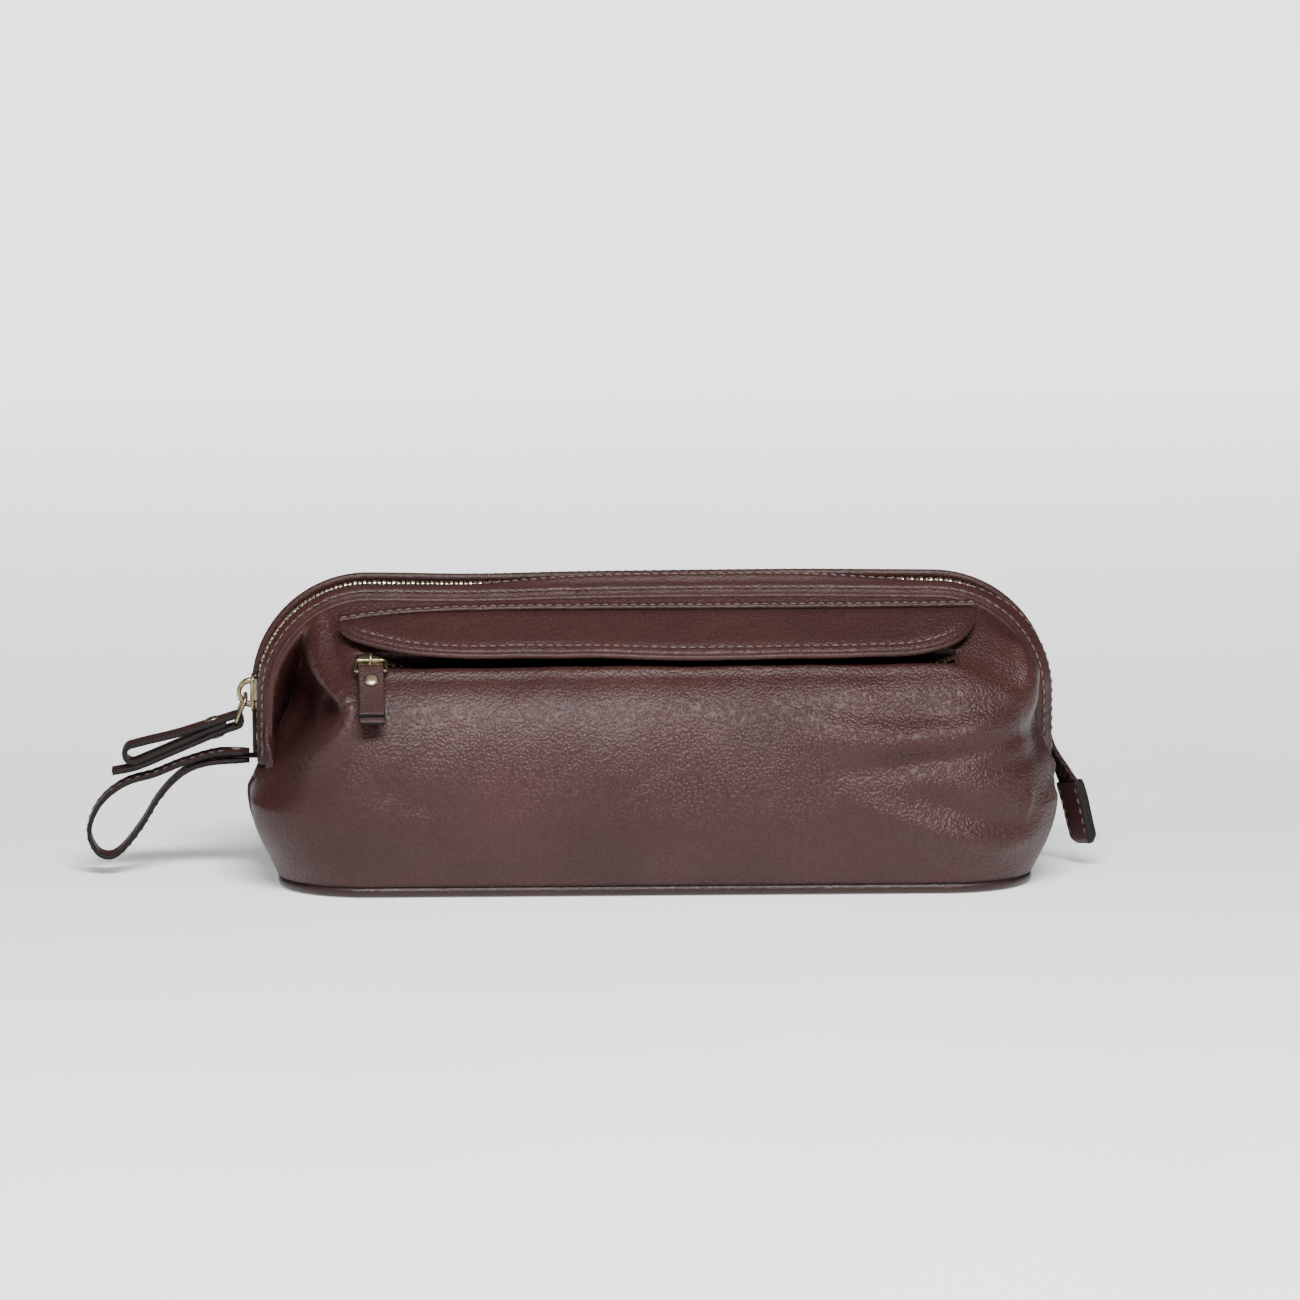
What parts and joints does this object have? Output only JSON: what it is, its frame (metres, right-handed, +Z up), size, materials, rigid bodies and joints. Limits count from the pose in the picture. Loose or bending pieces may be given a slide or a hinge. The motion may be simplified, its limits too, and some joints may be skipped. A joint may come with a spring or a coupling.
{
  "type": "shaving kit bag",
  "caption": "Framed leather wash bag with a curved metal zip round its mouth, a flap pocket on the front and a wrist loop.",
  "frame": {"origin": "centre of the base's underside, on the surface that the bag stands on", "axes": "+X along the bag towards the zip's tail, -Y towards the front with the flap pocket, +Z up"},
  "size_m": [0.3367, 0.1275, 0.0999],
  "materials": {
    "leather": "soft pebbled grain, satin",
    "edge_leather": "dark painted or rolled edge",
    "lining": "twill weave",
    "zip_tape": "herringbone woven tape",
    "thread": "waxed thread",
    "board": "stiff base board",
    "spring_steel": "bare strip",
    "antique_brass": "antique brass, worn"
  },
  "bodies": {
    "bag": {"base_panel": "leather", "base_board": "board", "base_piping": "edge_leather", "base_lining": "lining", "front_panel_lower": "leather", "back_panel_lower": "leather", "front_panel_crease": "leather", "back_panel_crease": "leather", "lining_tub": "lining", "lining_front": "lining", "lining_back": "lining", "pocket_pouch": "lining", "left_end_welt": "edge_leather", "right_end_welt": "edge_leather", "left_frame_rivet": "antique_brass", "right_frame_rivet": "antique_brass", "strap_tongue": "edge_leather"},
    "front_mouth": {"front_bow": "spring_steel", "front_band": "leather", "front_zip_tape": "zip_tape", "front_zip_teeth": "antique_brass", "front_zip_stops": "antique_brass", "front_panel_upper": "leather", "pocket_tape_upper": "zip_tape", "pocket_tape_lower": "zip_tape", "pocket_teeth": "antique_brass", "pocket_zip_stops": "antique_brass"},
    "back_mouth": {"back_bow": "spring_steel", "back_band": "leather", "back_zip_tape": "zip_tape", "back_zip_teeth": "antique_brass", "back_zip_stops": "antique_brass", "back_panel_upper": "leather"},
    "main_slider": {"slider_body": "antique_brass", "slider_bridge": "antique_brass"},
    "puller_link": {"puller_link": "antique_brass"},
    "main_puller": {"puller_tab": "leather", "puller_rivet": "antique_brass"},
    "pocket_flap": {"pocket_flap": "leather", "flap_piping": "edge_leather"},
    "pocket_slider": {"pocket_slider_body": "antique_brass", "pocket_slider_bridge": "antique_brass"},
    "pocket_pull_link": {"pocket_pull_link": "antique_brass"},
    "pocket_pull": {"pocket_pull_tab": "leather", "pocket_pull_rivet": "antique_brass"},
    "wrist_strap": {"wrist_strap": "leather", "strap_pin": "thread"},
    "zip_tail": {"tail_tape": "zip_tape", "tail_tab": "leather"}
  },
  "joints": [
    {"name": "front_mouth_hinge", "type": "hinge", "parent": "bag", "child": "front_mouth", "pos_m": [0, 0, 0.04], "axis": [1, 0, 0], "range_deg": [0, 34], "deforming": ["front_panel_crease", "lining_front", "pocket_pouch"]},
    {"name": "back_mouth_hinge", "type": "hinge", "parent": "bag", "child": "back_mouth", "pos_m": [0, 0, 0.04], "axis": [-1, 0, 0], "range_deg": [0, 34], "deforming": ["back_panel_crease", "lining_back"]},
    {"name": "main_slider_travel", "type": "hinge", "parent": "front_mouth", "child": "main_slider", "pos_m": [-0.0945, 0, 0.0605], "axis": [0, 1, 0], "range_deg": [0, 90], "deforming": ["front_zip_tape", "front_zip_teeth", "back_zip_tape", "back_zip_teeth"]},
    {"name": "puller_link_hinge", "type": "hinge", "parent": "main_slider", "child": "puller_link", "pos_m": [-0.1354, 0, 0.0592], "axis": [0, 1, 0], "range_deg": [0, 45]},
    {"name": "main_puller_hinge", "type": "hinge", "parent": "puller_link", "child": "main_puller", "pos_m": [-0.13862, 0, 0.05123], "axis": [0, 1, 0], "range_deg": [0, 50]},
    {"name": "pocket_flap_hinge", "type": "hinge", "parent": "front_mouth", "child": "pocket_flap", "pos_m": [0, -0.02238, 0.09006], "axis": [-1, 0, 0], "range_deg": [0, 110]},
    {"name": "pocket_slider_slide", "type": "slide", "parent": "front_mouth", "child": "pocket_slider", "axis": [1, 0, 0], "range_m": [0, 0.18], "deforming": ["pocket_teeth"]},
    {"name": "pocket_pull_link_hinge", "type": "hinge", "parent": "pocket_slider", "child": "pocket_pull_link", "pos_m": [-0.0945, -0.03994, 0.07661], "axis": [-1, 0, 0], "range_deg": [0, 8]},
    {"name": "pocket_pull_hinge", "type": "hinge", "parent": "pocket_pull_link", "child": "pocket_pull", "pos_m": [-0.0945, -0.04845, 0.07413], "axis": [-1, 0, 0], "range_deg": [0, 40]},
    {"name": "wrist_strap_swing", "type": "hinge", "parent": "bag", "child": "wrist_strap", "pos_m": [-0.1387, 0, 0.0393], "axis": [0, 0, 1], "range_deg": [-50, 50]},
    {"name": "zip_tail_hinge", "type": "hinge", "parent": "bag", "child": "zip_tail", "pos_m": [0.1329, 0, 0.044], "axis": [0, -1, 0], "range_deg": [0, 80]}
  ]
}
